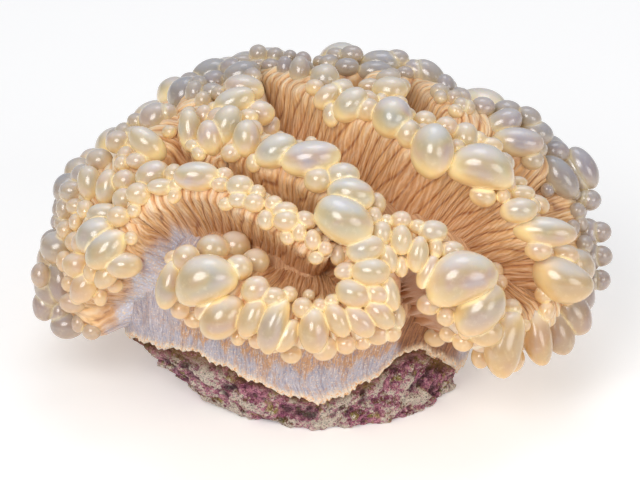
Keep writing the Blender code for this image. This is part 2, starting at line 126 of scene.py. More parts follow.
def waves(seed, count, shortest, longest):  # a smooth random curve over two lengths, about -1 to 1
    rng = random.Random(seed)
    rows = []
    for _ in range(count):
        rows.append((
            math.tau / rng.uniform(shortest, longest), math.tau / rng.uniform(longest, 3 * longest),
            rng.uniform(0, math.tau), rng.uniform(0.5, 1),
        ))
    total = sum(row[3] for row in rows)

    def curve(first, second=0):
        return sum(size * np.sin(a * first + b * second + turn) for a, b, turn, size in rows) / total * 1.6

    return curve


# Meshes


def meshOf(shape, name):
    mesh = bpy.data.meshes.new(name)
    shape.to_mesh(mesh)
    shape.free()
    return mesh


def gridMesh(name, columns, rows):  # a flat grid, with the column and row of each of its points
    shape = bmesh.new()
    bmesh.ops.create_grid(shape, x_segments=columns, y_segments=rows, size=0.5)
    mesh = meshOf(shape, name)
    flat = np.zeros(len(mesh.vertices) * 3)
    mesh.vertices.foreach_get("co", flat)
    flat = flat.reshape(-1, 3)
    column = np.rint((flat[:, 0] + 0.5) * columns).astype(int)
    row = np.rint((flat[:, 1] + 0.5) * rows).astype(int)
    return mesh, column, row


def closeMesh(mesh, points, fields):  # moves the grid's points, then joins its seam and its ends
    mesh.vertices.foreach_set("co", points.astype(np.float32).ravel())
    for key, values in fields.items():
        kind, entry = ("FLOAT", "value") if values.ndim == 1 else ("FLOAT_VECTOR", "vector")
        made = mesh.attributes.new(key, kind, "POINT")
        made.data.foreach_set(entry, values.astype(np.float32).ravel())
    shape = bmesh.new()
    shape.from_mesh(mesh)
    bmesh.ops.remove_doubles(shape, verts=shape.verts[:], dist=merge)
    bmesh.ops.recalc_face_normals(shape, faces=shape.faces[:])
    for face in shape.faces:
        face.smooth = True
    shape.to_mesh(mesh)
    shape.free()
    return mesh


def newObject(name, data):
    made = bpy.data.objects.new(name, data)
    bpy.context.scene.collection.objects.link(made)
    return made


def showPiece(mesh, skin, slot, *nodes):
    mesh.materials.append(skin)
    made = newObject(mesh.name, mesh)
    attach(made, "root")
    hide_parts(*nodes)
    return made


# Materials


def srgb(*values):
    return tuple((value / 255 / 12.92 if value <= 10 else ((value / 255 + 0.055) / 1.055) ** 2.4)
                 for value in values) + (1,)


def paints(**colours):
    return {name: srgb(*values) for name, values in colours.items()}


class Nodes:  # the node tree of a new material; a name as a value stands for what the look has there
    def __init__(self, name, look=None):
        self.look = look
        self.material = bpy.data.materials.new(name)
        self.material.use_nodes = True
        self.tree = self.material.node_tree
        self.shader = self.tree.nodes["Principled BSDF"]

    def put(self, socket, value):
        if isinstance(value, bpy.types.NodeSocket):
            self.tree.links.new(value, socket)
        else:
            socket.default_value = self.look[value] if isinstance(value, str) else value

    def add(self, kind, sockets, **settings):
        made = self.tree.nodes.new("ShaderNode" + kind)
        for key, value in settings.items():
            setattr(made, key, value)
        for key, value in sockets.items():
            self.put(made.inputs[key], value)
        return made

    def math(self, operation, first, second=0.0, third=0.0):
        return self.add("Math", {0: first, 1: second, 2: third}, operation=operation).outputs[0]

    def blend(self, amount, first, second, kind="MIX"):
        made = self.add("Mix", {0: amount, 6: first, 7: second}, data_type="RGBA", blend_type=kind)
        return made.outputs[2]

    def spread(self, value, low, high, first=0.0, last=1.0):
        made = self.add("MapRange", {
            "Value": value, "From Min": low, "From Max": high, "To Min": first, "To Max": last,
        }, interpolation_type="SMOOTHSTEP")
        return made.outputs[0]

    def tint(self, colour, paint, value, low, high, most=1.0, least=0.0):
        return self.blend(self.spread(value, low, high, least, most), colour, paint)

    def times(self, first, second):
        return self.math("MULTIPLY", first, second)

    def ramp(self, factor, *stops):
        made = self.add("ValToRGB", {"Fac": factor})
        elements = made.color_ramp.elements
        elements.remove(elements[1])
        elements[0].position = stops[0][0]
        elements[0].color = self.look[stops[0][1]]
        for position, paint in stops[1:]:
            elements.new(position).color = self.look[paint]
        return made.outputs["Color"]

    def field(self, key, kind="Fac"):
        return self.add("Attribute", {}, attribute_name=key).outputs[kind]

    def place(self):
        return self.add("TexCoord", {}).outputs["Object"]

    def stretch(self, vector, scale):
        return self.add("VectorMath", {0: vector, 1: scale}, operation="MULTIPLY").outputs[0]

    def cloud(self, vector, scale, detail=2.0, roughness=0.5, distortion=0.0):
        return self.add("TexNoise", {
            "Vector": vector, "Scale": scale, "Detail": detail, "Roughness": roughness,
            "Distortion": distortion,
        }).outputs["Fac"]

    def runCloud(self, run, across, down, detail, roughness=0.5):  # streaks that follow the pleats
        return self.cloud(self.stretch(run, (across, down, 1)), 1.0, detail, roughness)

    def cells(self, vector, scale):
        return self.add("TexVoronoi", {"Vector": vector, "Scale": scale}).outputs["Distance"]

    def bumps(self, *layers):  # each as (height, strength, distance)
        under = {}
        for height, strength, distance in layers:
            made = self.add("Bump", {"Height": height, "Strength": strength, "Distance": distance, **under})
            under = {"Normal": made.outputs[0]}
        return made.outputs[0]

    def finish(self, **sockets):
        for key, value in sockets.items():
            self.put(self.shader.inputs[key.replace("_", " ")], value)
        return self.material


fleshLook = paints(
    crest=(255, 238, 206), upper=(253, 226, 184), middle=(252, 210, 156), low=(248, 202, 142),
    deep=(224, 170, 114), groove=(206, 126, 66), deepGroove=(152, 86, 46), streak=(255, 248, 230),
    pale=(226, 229, 242), brown=(172, 102, 52), paleGroove=(186, 182, 198), grain=(250, 226, 190),
    blush=(246, 196, 150), sheen=(255, 226, 190),
)
fleshLook.update(lines=3600)  # fine lines along the crest, in radians a metre


def fleshMaterial():
    made = Nodes("flesh", fleshLook)
    run = made.field("run", "Vector")
    groove, deep, pale = map(made.field, ("groove", "deep", "pale"))
    streaks = made.runCloud(run, 1500, 170, 3.0, 0.6)
    broad = made.runCloud(run, 420, 70, 2.0)
    blotches = made.cloud(made.place(), 75, 2.0)
    speckle = made.cloud(made.place(), 1100, 2.0, 0.7)
    grains = made.cells(made.place(), 900)
    metres = made.add("SeparateXYZ", {0: run}).outputs[0]
    stray = made.times(made.runCloud(run, 190, 60, 3.0, 0.6), 22)
    lines = made.math("SINE", made.math("MULTIPLY_ADD", metres, "lines", stray))
    lines = made.times(lines, made.spread(deep, 0.15, 0.7, 0, 1))
    depth = made.math("ADD", deep, made.spread(blotches, 0.3, 0.7, -0.08, 0.08))
    # lighter at the crest and darker down the wall: partly the flesh's own colour, partly painted shade in the
    # valleys
    colour = made.ramp(
        depth, (0.0, "crest"), (0.18, "upper"), (0.42, "middle"), (0.66, "low"), (0.95, "deep"),
    )
    colour = made.tint(colour, "blush", blotches, 0.45, 0.75, 0.35)
    # darker in the grooves and more so deep down: partly the flesh's own colour, partly painted shade in the
    # creases; this colour also darkens the streaks and lines
    shadeAndStreaks = made.blend(made.spread(deep, 0.2, 0.8), "groove", "deepGroove")
    colour = made.tint(colour, shadeAndStreaks, groove, 0.54, 0.05, 0.85)
    # pale streaks and paler ridge tops, fading deeper down: partly the flesh's own colour, partly painted
    # highlight
    light = made.times(made.spread(streaks, 0.5, 0.8, 0, 0.7), made.spread(deep, 0.9, 0.3, 0.25, 1))
    ridges = made.times(made.spread(groove, 0.72, 1.0, 0, 0.7), made.spread(deep, 0.9, 0.1, 0.2, 1))
    colour = made.blend(made.math("MAXIMUM", light, ridges), colour, "streak")
    colour = made.tint(colour, shadeAndStreaks, broad, 0.35, 0.6, 0, 0.3)
    colour = made.tint(colour, shadeAndStreaks, streaks, 0.42, 0.25, 0.4)
    colour = made.tint(colour, shadeAndStreaks, lines, 0.0, -1.0, 0.25)
    colour = made.tint(colour, "streak", lines, 0.3, 1.0, 0.16)
    # the pale valley turns darker in its grooves: partly painted shade
    white = made.blend(made.spread(groove, 0.7, 0.0, 0, 0.8), "pale", "paleGroove")
    white = made.tint(white, "grain", speckle, 0.5, 0.60, 0.85)
    white = made.tint(white, "paleGroove", grains, 0.25, 0.5, 0.5)
    colour = made.blend(made.times(pale, made.spread(streaks, 0.35, 0.6, 0.6, 1)), colour, white)
    # painted shade: the flank between the curls at the right turns brown
    colour = made.blend(made.times(made.field("brown"), 0.75), colour, "brown")
    relief = made.bumps((streaks, 0.7, 0.0009), (lines, 0.4, 0.0002), (speckle, 0.25, 0.0003))
    return made.finish(
        Base_Color=colour, Normal=relief, Roughness=0.4, Subsurface_Weight=0.12,
        Subsurface_Radius=(1.0, 0.6, 0.35), Subsurface_Scale=0.0015, Coat_Weight=0.2, Coat_Roughness=0.3,
        Sheen_Weight=0.1, Sheen_Roughness=0.4, Sheen_Tint="sheen",
    )


bubbleLook = paints(
    middle=(150, 138, 120), side=(202, 180, 136), edge=(255, 232, 172), amber=(196, 146, 82),
    top=(236, 238, 244), under=(230, 184, 114), seam=(255, 240, 196), small=(244, 208, 160),
    outer=(76, 98, 138), glow=(255, 222, 164), lilac=(198, 186, 212), rose=(222, 184, 180),
    honey=(226, 198, 150), straw=(220, 206, 158), mint=(190, 200, 192), mist=(196, 196, 216),
)
bubbleLook.update(amberFrom=0.105, amberTo=0.03, seamGlow=0.10, ownGlow=0.03)  # heights in metres, and the strength of the painted glow


# The way out of the fold (for the painted rim glow), a number of its own, smallness, nearness to neighbours
# (for a painted glow), and to the side edges as seen in front (for painted shade).
bubbleFields = ("cap", "tone", "small", "seam", "outer")


def bubbleMaterial():
    made = Nodes("bubbleSkin", bubbleLook)
    cap, tone, small, seam, outer = map(made.field, bubbleFields)
    up = made.add("SeparateXYZ", {0: made.add("NewGeometry", {}).outputs["Normal"]}).outputs[2]
    # painted light: bright cream towards each bubble's edge as seen from the front and darker in the middle, a
    # rim glow of light through the bubble
    colour = made.ramp(made.spread(cap, -0.25, 1.0), (0.2, "edge"), (0.58, "side"), (0.95, "middle"))
    own = made.add("CombineXYZ", {0: tone, 1: tone, 2: tone}).outputs[0]
    sockets = {0: made.place(), 1: made.stretch(own, (0.3, 0.2, 0.1))}  # other clouds on each bubble
    shifted = made.add("VectorMath", sockets, operation="ADD").outputs[0]
    pearl = made.ramp(
        made.cloud(shifted, 66, 1.5, 0.45, 0.5), (0.30, "lilac"), (0.38, "rose"), (0.46, "honey"),
        (0.54, "straw"), (0.62, "mint"), (0.72, "mist"),
    )
    colour = made.tint(colour, pearl, cap, -0.1, 0.7, 0.34, 0.1)
    height = made.add("SeparateXYZ", {0: made.place()}).outputs[2]
    colour = made.tint(colour, "amber", height, "amberFrom", "amberTo", 0.56)
    # painted highlight and reflection: faces that look up turn white
    colour = made.tint(colour, "top", up, 0.5, 1.0, 0.6)
    colour = made.blend(made.times(small, 0.45), colour, "small")
    # painted glow: faces that look down turn warm yellow, as if light shone through the bubble
    colour = made.tint(colour, "under", up, 0.1, -0.8, 0.7)
    # painted shade: bubbles near the side edges, as seen in front, turn blue-grey
    colour = made.blend(made.times(outer, 0.52), colour, "outer")
    skin = made.cloud(made.place(), 420, 3.0, 0.6)
    colour = made.tint(colour, "seam", skin, 0.5, 0.75, 0.12)
    seam = made.times(seam, made.spread(outer, 0.0, 1.0, 1.0, 0.45))
    # painted glow: warm cream and emission where bubbles touch, as if light shone through them, less at the
    # side edges
    colour = made.blend(made.times(seam, 0.9), colour, "seam")
    # the whole skin also glows faintly: painted light that fills the shade between bubbles
    glow = made.math("MULTIPLY_ADD", seam, "seamGlow", "ownGlow")
    return made.finish(
        Base_Color=colour, Normal=made.bumps((skin, 0.05, 0.0003)), Roughness=0.3, Subsurface_Weight=0.5,
        Subsurface_Radius=(1.0, 0.75, 0.45), Subsurface_Scale=0.0028, Coat_Weight=1.0, Coat_Roughness=0.18,
        Emission_Color="glow", Emission_Strength=glow, IOR=1.38, Coat_IOR=1.7,
        Sheen_Weight=1.0, Sheen_Roughness=0.12, Sheen_Tint="seam",
    )


mantleLook = paints(
    pale=(184, 177, 186), blue=(136, 136, 160), peach=(202, 154, 112), white=(230, 226, 228),
    cream=(250, 232, 204), orange=(224, 164, 104), floor=(190, 140, 102), valley=(228, 184, 138),
    brown=(116, 68, 38), tan=(172, 114, 66),
)


def mantleMaterial():
    made = Nodes("mantle", mantleLook)
    run = made.field("run", "Vector")
    pale, edge, valley, groove = map(made.field, ("pale", "edge", "valley", "groove"))
    streaks = made.runCloud(run, 1100, 130, 3.0, 0.6)
    broad = made.runCloud(run, 260, 60, 2.0)
    fine = made.runCloud(run, 2400, 260, 3.0, 0.7)
    grains = made.cloud(made.place(), 900, 3.0, 0.7)
    spots = made.cells(made.place(), 800)
    upper = made.math("ADD", made.field("upper"), made.spread(broad, 0.35, 0.65, -0.3, 0.3))
    skirt = made.blend(made.spread(upper, 0.0, 0.5), "pale", "peach")
    skirt = made.blend(made.times(pale, 0.85), skirt, "pale")
    skirt = made.tint(skirt, "blue", streaks, 0.5, 0.32, 0.7)
    skirt = made.tint(skirt, "blue", grains, 0.46, 0.36, 0.6)
    skirt = made.tint(skirt, "peach", grains, 0.54, 0.62, 0.5)
    skirt = made.tint(skirt, "white", fine, 0.5, 0.7, 0.7)
    skirt = made.tint(skirt, "cream", spots, 0.35, 0.15, 0.4)
    # painted shade: the flank between the curls at the right turns brown and tan
    flank = made.blend(made.spread(streaks, 0.35, 0.65), "brown", "tan")
    skirt = made.blend(made.field("flank"), skirt, flank)
    skirt = made.blend(made.times(edge, made.spread(grains, 0.3, 0.6, 0.4, 1)), skirt, "cream")
    skirt = made.blend(made.times(edge, made.spread(grains, 0.5, 0.62)), skirt, "orange")
    floor = made.blend(made.spread(streaks, 0.3, 0.7), "floor", "valley")
    colour = made.blend(made.times(valley, made.math("SUBTRACT", 1.0, pale)), skirt, floor)
    # darker in the rib grooves: partly painted shade
    colour = made.blend(made.spread(groove, 0.6, 0.0, 0, 0.3), colour, "floor", "MULTIPLY")
    relief = made.bumps((streaks, 0.5, 0.0008), (grains, 0.8, 0.0008), (spots, -0.4, 0.0004))
    return made.finish(
        Base_Color=colour, Normal=relief, Roughness=0.5, Subsurface_Weight=0.12,
        Subsurface_Radius=(1.0, 0.6, 0.4), Subsurface_Scale=0.0015, Coat_Weight=0.12, Coat_Roughness=0.35,
    )


rockLook = paints(
    purple=(170, 78, 124), pink=(244, 164, 186), cream=(255, 240, 222), olive=(152, 138, 62),
    brown=(134, 86, 50), dark=(48, 28, 28), moss=(196, 180, 92), rim=(138, 94, 38),
)


def rockMaterial():
    made = Nodes("reefRock", rockLook)
    place = made.place()
    high = made.field("height")
    patches = made.cloud(place, 82, 5.0, 0.72, 0.5)
    film = made.cloud(place, 210, 5.0, 0.75)
    crust = made.cloud(place, 460, 5.0, 0.8, 0.2)
    grain = made.cloud(place, 1500, 4.0, 0.8)
    pits = made.cells(place, 640)
    lumps = made.cells(place, 260)
    colour = made.ramp(
        patches, (0.32, "olive"), (0.40, "brown"), (0.46, "purple"), (0.53, "pink"), (0.60, "purple"),
        (0.70, "olive"),
    )
    colour = made.tint(colour, "moss", film, 0.52, 0.62, 0.8)
    light = made.math("ADD", crust, made.spread(made.cloud(place, 70, 2.0), 0.3, 0.7, -0.07, 0.09))
    light = made.math("ADD", light, made.spread(high, -0.6, 1.0, -0.06, 0.07))
    colour = made.tint(colour, "cream", light, 0.50, 0.60)
    colour = made.tint(colour, "brown", crust, 0.45, 0.36, 0.8)
    colour = made.tint(colour, "dark", grain, 0.47, 0.37, 0.85)
    colour = made.tint(colour, "cream", grain, 0.55, 0.66, 0.6)
    # painted shade: darker in the crevices between the lumps
    colour = made.tint(colour, "dark", high, 0.0, -0.9, 0.75)
    near = made.times(made.field("rim"), made.spread(crust, 0.35, 0.55, 0.3, 1))
    colour = made.blend(near, colour, "rim")
    colour = made.tint(colour, "pink", pits, 0.3, 0.1, 0.5)
    relief = made.bumps((lumps, -1.0, 0.0024), (crust, 0.8, 0.0020), (grain, 1.0, 0.0014), (pits, 0.6, 0.0008))
    return made.finish(Base_Color=colour, Normal=relief, Roughness=0.85)


# Rock and mantle

# Their common outline at several heights, as in the solids, and the mantle's lower edge round the rock.
outline = {
    "heights": (0.000, 0.010, 0.022, 0.035, 0.053), "halfX": (0.050, 0.060, 0.069, 0.074, 0.079),
    "halfY": (0.046, 0.052, 0.057, 0.060, 0.063), "middleX": (0.002, -0.003, -0.008, -0.007, -0.003),
    "middleY": (-0.008, -0.004, -0.001, 0.000, 0.000),
}
margin = (
    (-180, 0.020), (-144, 0.031), (-127, 0.034), (-110, 0.029), (-102, 0.023), (-95, 0.017),
    (-85, 0.015), (-78, 0.019), (-64, 0.024), (-57, 0.037), (-50, 0.035), (-41, 0.026), (-26, 0.015),
    (-10, 0.011), (20, 0.017), (60, 0.025), (90, 0.020), (120, 0.026), (150, 0.018), (180, 0.020),
)
# Where the pale valley runs on the drawing, and the brown flank at the right, a patch of painted shade between
# the curls.
paleStream = ((180, 256), (166, 274), (154, 296), (142, 320), (132, 342))
paintedShadeFlank = ((404, 290), (418, 318), (426, 344))


def marginHeight(turn):  # the mean over a few degrees
    shifts = (-4, -2, 0, 2, 4)
    total = 0
    for shift in shifts:
        degrees = (np.degrees(turn) + shift + 180) % 360 - 180
        total = total + np.interp(degrees, [row[0] for row in margin], [row[1] for row in margin])
    return total / len(shifts)


marginTurns = 28
meanMargin = float(marginHeight(np.arange(marginTurns) * math.tau / marginTurns).mean())


def onOutline(height, turn, share=1.0):
    halfX, halfY, middleX, middleY = (
        np.interp(height, outline["heights"], outline[key]) for key in ("halfX", "halfY", "middleX", "middleY")
    )
    return np.stack([
        middleX + halfX * share * np.cos(turn), middleY + halfY * share * np.sin(turn), height + 0 * turn,
    ], 1)


def seatHeight(share, turn):
    return meanMargin + (marginHeight(turn) - meanMargin) * share**2


def paleness(points, reach=17, fade=14, stream=paleStream):  # 1 near a line of the drawing, in front
    across, down = onDrawing(points)
    nearest = np.full(len(points), 1e9)
    for (x1, y1), (x2, y2) in zip(stream, stream[1:]):
        length = (x2 - x1) ** 2 + (y2 - y1) ** 2
        share = np.clip(((across - x1) * (x2 - x1) + (down - y1) * (y2 - y1)) / length, 0, 1)
        nearest = np.minimum(nearest, np.hypot(across - x1 - share * (x2 - x1), down - y1 - share * (y2 - y1)))
    ragged = waves(5, 6, 0.006, 0.02)(points[:, 0], points[:, 2]) * 7
    front = smoothStep(0.0, -0.02, points[:, 1])
    return front * smoothStep(reach + fade, reach, nearest + ragged)


def cloudOf(points, size, kind="fractal"):
    if kind == "cells":
        return np.array([noise.voronoi(Vector(point) / size)[0][0] for point in points])
    return np.array([noise.fractal(Vector(point) / size, 1.0, 2.0, 3) for point in points])


rockSettings = {
    "around": 520, "up": 60, "foot": 12, "top": 8, "lump": 0.0030, "lumpSize": 0.014,
    "knob": 0.0034, "knobSize": 0.0062, "grain": 0.0016, "grainSize": 0.0026, "sink": 0.0010,
    "swell": 0.0015, "worn": 0.0012, "heightUnit": 0.0022,
}


def makeRock():
    s = rockSettings
    rows = s["foot"] + s["up"] + s["top"]
    mesh, column, row = gridMesh("reefRock", s["around"], rows)
    turn = column / s["around"] * math.tau
    level = np.clip((row - s["foot"]) / s["up"], 0, 1)
    share = np.where(row < s["foot"], row / s["foot"], np.clip((rows - row) / s["top"], 0, 1))
    rim = seatHeight(1.0, turn) - s["sink"]
    height = np.where(row > s["foot"] + s["up"], seatHeight(share, turn) - s["sink"], level * rim)
    points = onOutline(height, turn, share)
    side = level < 1
    out = np.stack([np.cos(turn), np.sin(turn), 0 * turn], 1)
    cut = row <= s["foot"]
    rimPlaces = onOutline(level * rim, turn)  # the cut's lumps are those of its rim
    relief = (
        s["lump"] * cloudOf(rimPlaces, s["lumpSize"])
        + s["knob"] * (0.5 - cloudOf(rimPlaces, s["knobSize"], "cells"))
        + s["grain"] * cloudOf(rimPlaces, s["grainSize"])
    )
    relief += s["swell"] * smoothStep(0.5, 0.0, level)
    worn = s["worn"] * smoothStep(0.08, 0.0, level)
    reach = (relief - worn) * side * smoothStep(1.0, 0.9, level)
    points += out * (reach * np.where(cut, share, 1))[:, None]
    lift = np.maximum(relief * 0.3 * smoothStep(0, 0.1, level), -0.5 * height)
    points[:, 2] += np.where(side & ~cut, lift, 0)
    closeMesh(mesh, points, {"height": relief / s["heightUnit"], "rim": smoothStep(0.62, 0.97, level)})
    return showPiece(mesh, rockMaterial(), "rock", "rock_base")


mantleSettings = {
    "around": 480, "under": 4, "side": 44, "over": 46, "proud": 0.0011, "rib": 0.0003, "ribPitch": 0.0021,
    "fold": 0.0011, "foldPitch": 0.011, "tooth": 0.0026, "toothPitch": 0.0032, "lip": 0.0013,
    "floorDrop": 0.003, "rimLength": 0.44, "seatGap": 0.0006,
}


def makeMantle():
    s = mantleSettings
    rows = s["under"] + s["side"] + s["over"]
    mesh, column, row = gridMesh("mantle", s["around"], rows)
    turn = column / s["around"] * math.tau
    along = s["rimLength"] * turn / math.tau
    level = np.clip((row - s["under"]) / s["side"], 0, 1)
    tip = np.clip((row - s["under"] - s["side"]) / s["over"], 0, 1)
    share = np.where(row < s["under"], row / s["under"], np.cos(tip * math.pi / 2))
    teeth = s["tooth"] * (
        0.6 * np.abs(np.sin(math.pi * along / s["toothPitch"] + 0.9 * np.sin(9 * turn)))
        + 0.7 * np.sin(23 * turn + 1.0) * np.sin(11 * turn)
    )
    foot = marginHeight(turn)
    height = foot + (dome["centre"].z - foot) * level
    height = np.where(row < s["under"], seatHeight(share, turn) + s["seatGap"], height)
    height += np.where(row >= s["under"], (teeth - s["tooth"]) * smoothStep(0.16, 0.0, level), 0)
    points = onOutline(np.clip(height, 0, dome["centre"].z), turn, share)
    points[:, 2] = height + (dome["valleyRise"] - s["floorDrop"]) * np.sin(tip * math.pi / 2)
    out = np.stack([np.cos(turn) * share, np.sin(turn) * share, np.sin(tip * math.pi / 2)], 1)
    wander = 0.35 * np.sin(4 * turn + 3 * level) + 0.3 * np.sin(9 * turn - 2 * level)
    ribs = (0.5 + 0.5 * np.cos(round(s["rimLength"] / s["ribPitch"]) * turn + wander * 3)) ** 0.6
    ripple = np.sin(round(s["rimLength"] / s["foldPitch"]) * turn + wander * 4 + 1.4 * level)
    lip = s["lip"] * smoothStep(0.10, 0.02, level)
    relief = s["proud"] + lip + s["rib"] * (ribs - 0.5) + s["fold"] * ripple * smoothStep(0.0, 0.35, level)
    relief = relief * np.where(row < s["under"], 0, 1) * smoothStep(1.0, 0.7, tip)
    points += out * relief[:, None]
    fields = {
        "run": np.stack([along, height, 0 * turn], 1), "pale": paleness(points, 28, 16), "groove": ribs,
        # where shade is painted on the flank between the curls
        "flank": paleness(points, 20, 16, paintedShadeFlank),
        "edge": smoothStep(0.09, 0.02, level) * (row >= s["under"]), "upper": smoothStep(0.15, 0.6, level),
        "valley": smoothStep(0.75, 1.0, level),
    }
    closeMesh(mesh, points, fields)
    return showPiece(mesh, mantleMaterial(), "mantle", "colony_base")


makeRock()
makeMantle()
print("rock and mantle made")


# Folds

# Each fold: the node that it stands for, how its pleats run, its crests as (half width, route), its bubbles as
# (across, down, half length, half width, turn in degrees, bend), and the side that it is drawn from.
folds = {}


def addFold(node, pitch, lean, crests, bubbles=(), behind=False):
    first, *rest = node.split("_")
    folds[first + "".join(word.title() for word in rest)] = {
        "node": node, "pitch": pitch, "lean": lean, "crests": crests, "bubbles": bubbles, "behind": behind,
    }


addFold("left_lobe", 0.0031, -0.10, (
    (0.0140, ((72, 314), (66, 286), (84, 258), (108, 238))),
), (
    (100, 236, 20, 17, 30), (110, 249, 23, 15, 43), (128, 265, 17, 12, 5), (110, 275, 14, 10, 50),
    (87, 286, 17, 12, 60), (62, 282, 20, 14, 100), (80, 265, 14, 12), (60, 248, 17, 16), (48, 286, 20, 12, 100),
    (42, 275, 12, 9, 90), (45, 305, 15, 11, 90), (75, 302, 13, 10), (60, 312, 12, 10, 90), (68, 325, 16, 13),
    (80, 323, 9, 7, 90), (103, 296, 9, 7, 90), (118, 285, 8, 7), (93, 331, 9, 8), (72, 245, 10, 8, 90),
    (72, 283, 8, 8), (58, 258, 8, 8), (78, 242, 10, 10),
))
addFold("front_arch", 0.0034, 0.12, (
    (0.0065, ((110, 222), (138, 202), (168, 188), (202, 182), (243, 196), (285, 220), (318, 244))),
), (
    (108, 215, 17, 11), (122, 217, 11, 10), (142, 195, 12, 11), (127, 200, 11, 11), (156, 177, 17, 14, 20),
    (165, 188, 14, 8), (200, 178, 22, 14), (226, 177, 9, 8), (223, 186, 9, 7), (242, 188, 13, 11),
    (259, 194, 8, 8), (241, 201, 10, 8), (256, 204, 10, 9), (275, 205, 9, 8), (286, 212, 12, 9),
    (287, 222, 12, 10), (300, 233, 9, 7, 90), (313, 240, 10, 8, 90), (325, 248, 7, 7),
))
addFold("left_crest", 0.0032, 0.00, (
    (0.0115, ((72, 218), (88, 190), (114, 168), (142, 148), (160, 124))),
), (
    (92, 184, 17, 12, 100), (110, 188, 17, 11, 80), (128, 182, 12, 11), (150, 146, 21, 13, -42),
    (140, 162, 11, 8), (125, 165, 8, 8), (125, 150, 8, 7), (78, 207, 9, 8), (75, 190, 9, 7, 90),
    (66, 209, 11, 8, 90), (120, 143, 12, 11), (136, 136, 10, 9), (156, 119, 16, 14, 40), (168, 115, 11, 10),
    (101, 161, 13, 11), (86, 176, 13, 11), (74, 192, 13, 11), (64, 224, 8, 8),
))
addFold("centre_fold", 0.0034, 0.15, (
    (0.0100, (
        (236, 70), (238, 92), (229, 116), (242, 136), (277, 152), (312, 165), (340, 188), (352, 216),
        (362, 240),
    )),
    (0.0085, ((212, 72), (192, 96), (196, 128), (210, 142))),
), (
    (240, 75, 17, 12, 25), (241, 62, 13, 8), (245, 90, 19, 13, -10), (235, 104, 21, 13, 25),
    (228, 128, 20, 14, 70), (248, 141, 18, 13, 90), (260, 115, 15, 12), (270, 129, 12, 9, 50),
    (287, 130, 11, 9), (280, 117, 9, 7), (277, 153, 21, 15, 30), (311, 161, 28, 17, 8), (233, 155, 10, 9),
    (255, 165, 9, 7, 90), (318, 182, 13, 12), (342, 178, 16, 13), (350, 196, 22, 16, -10),
    (343, 221, 29, 21, -30), (364, 249, 18, 13, 15), (375, 205, 11, 9, 90), (372, 217, 9, 8, 90),
    (380, 234, 12, 10, 90), (338, 255, 10, 8, 90), (184, 95, 18, 15, 65), (211, 73, 19, 14, 20),
    (195, 93, 11, 9, 80), (213, 83, 14, 11, 30), (213, 94, 12, 10), (220, 95, 8, 8), (192, 133, 21, 11, 95),
    (212, 140, 17, 12, 100), (204, 102, 9, 8, 90), (206, 118, 11, 9, 90),
))
addFold("front_curl", 0.0030, 0.00, (
    (0.0110, (
        (366, 262), (376, 286), (364, 310), (335, 324), (298, 326), (262, 314), (234, 296), (206, 280),
        (184, 280),
    )),
), (
    (209, 280, 30, 22, 20, 0.22), (173, 284, 23, 12, 75), (190, 258, 13, 13), (215, 249, 15, 14),
    (236, 246, 15, 14), (257, 261, 13, 12), (241, 267, 13, 12), (257, 288, 14, 12, 30), (213, 304, 17, 11, 42),
    (225, 315, 24, 18, 45), (254, 315, 20, 12, 65), (275, 323, 27, 13, 70, 0.1), (275, 296, 12, 10),
    (290, 293, 8, 8), (288, 333, 17, 10, 60), (314, 328, 21, 14, 90), (303, 306, 10, 10), (309, 294, 6, 6),
    (320, 304, 7, 7), (183, 308, 9, 9), (197, 318, 10, 8), (240, 335, 8, 7, 90), (292, 351, 10, 9),
    (324, 345, 12, 12), (345, 342, 10, 9), (361, 339, 9, 8), (376, 331, 12, 11), (390, 330, 9, 9),
    (369, 271, 18, 13), (352, 292, 17, 13, -20), (374, 292, 12, 9, -25), (378, 312, 17, 11, -45),
    (337, 318, 17, 11, -60), (358, 319, 18, 11, -45), (388, 292, 17, 9, -75), (394, 315, 13, 9, 90),
    (386, 258, 14, 9, -70),
))
addFold("upper_right_fold", 0.0040, 0.30, (
    (0.0085, (
        (262, 62), (290, 70), (324, 86), (354, 104), (392, 120), (430, 146), (476, 164), (514, 196), (540, 232),
    )),
), (
    (478, 170, 32, 21, -12, 0.2), (430, 153, 26, 20, 85), (407, 136, 14, 12, 90), (391, 120, 20, 19, 90),
    (423, 122, 11, 9), (444, 129, 11, 10), (463, 140, 15, 13, 90), (475, 141, 9, 8), (488, 148, 12, 9),
    (325, 81, 15, 14, 90), (300, 73, 15, 10, 90), (285, 68, 11, 8, 90), (271, 66, 10, 8), (259, 64, 10, 8),
    (258, 53, 9, 9), (275, 56, 9, 9), (290, 57, 7, 7), (303, 60, 8, 8), (350, 107, 19, 14, 45),
    (367, 112, 12, 11), (341, 94, 13, 12), (328, 99, 15, 11, 40), (331, 117, 12, 8, 90), (515, 211, 18, 12, 5),
    (518, 194, 13, 8), (514, 184, 10, 7), (480, 197, 13, 10, -15), (500, 197, 7, 7), (541, 232, 30, 14, -5),
    (535, 250, 13, 10),
))
